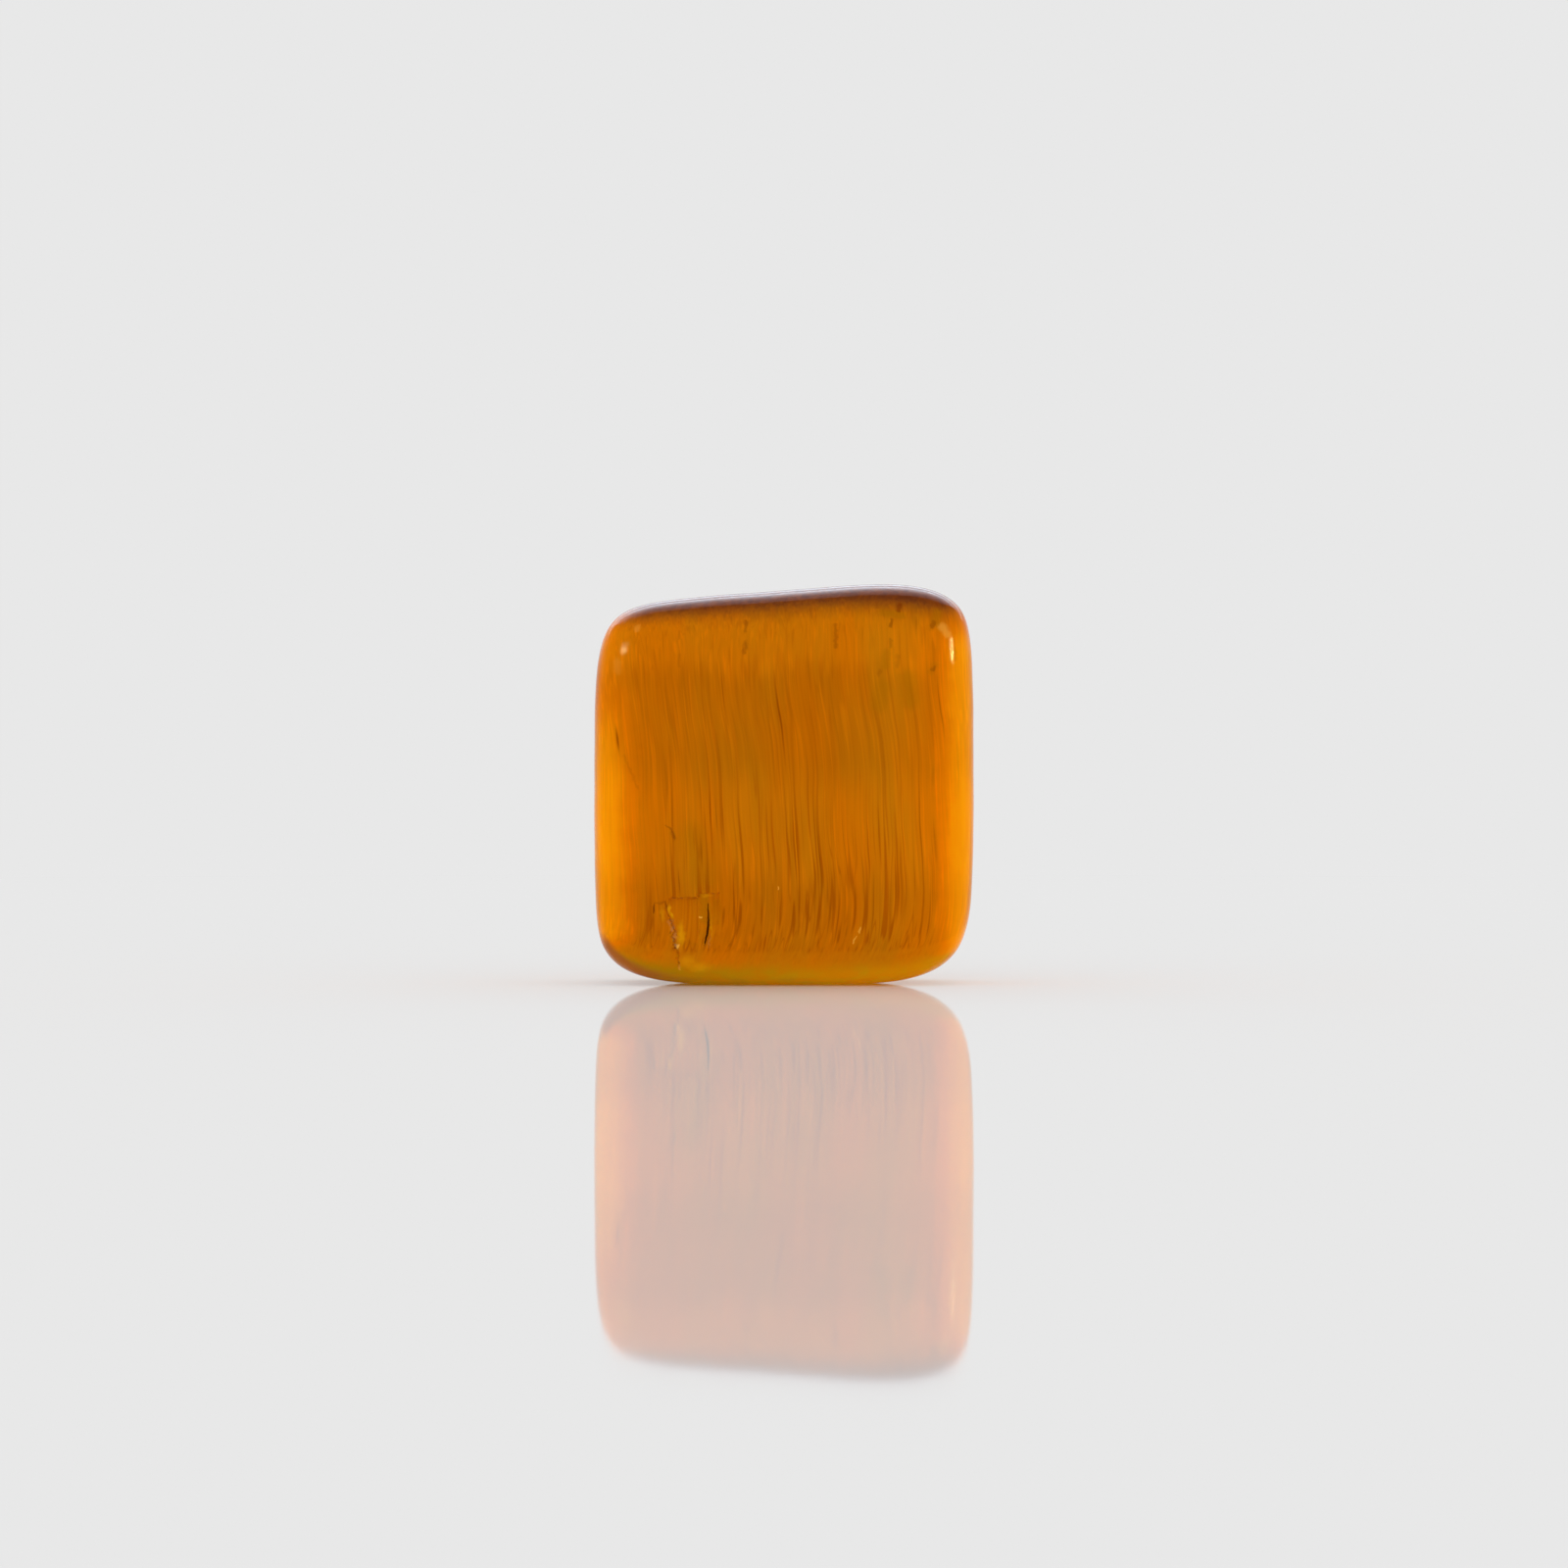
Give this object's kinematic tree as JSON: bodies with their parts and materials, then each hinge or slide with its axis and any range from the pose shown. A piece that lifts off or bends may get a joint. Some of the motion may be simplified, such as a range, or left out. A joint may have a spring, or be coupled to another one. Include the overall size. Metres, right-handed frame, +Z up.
{
  "type": "tumbled tiger eye stone",
  "caption": "Polished square tile of golden tiger's eye with rounded edges, standing on a small worn flat at its lower edge.",
  "frame": {"origin": "middle of the footprint, on the surface that the stone stands on", "axes": "+Z up, the broad polished face looks along -Y, +X to the right seen from the front"},
  "size_m": [0.02, 0.0096, 0.021],
  "materials": {
    "tiger_eye": "polished honey-gold quartz with fine upright brown and gold fibres that bend near the foot, a glassy surface, and dark end grain along the top"
  },
  "bodies": {
    "root": {"stone": "tiger_eye"}
  },
  "joints": []
}
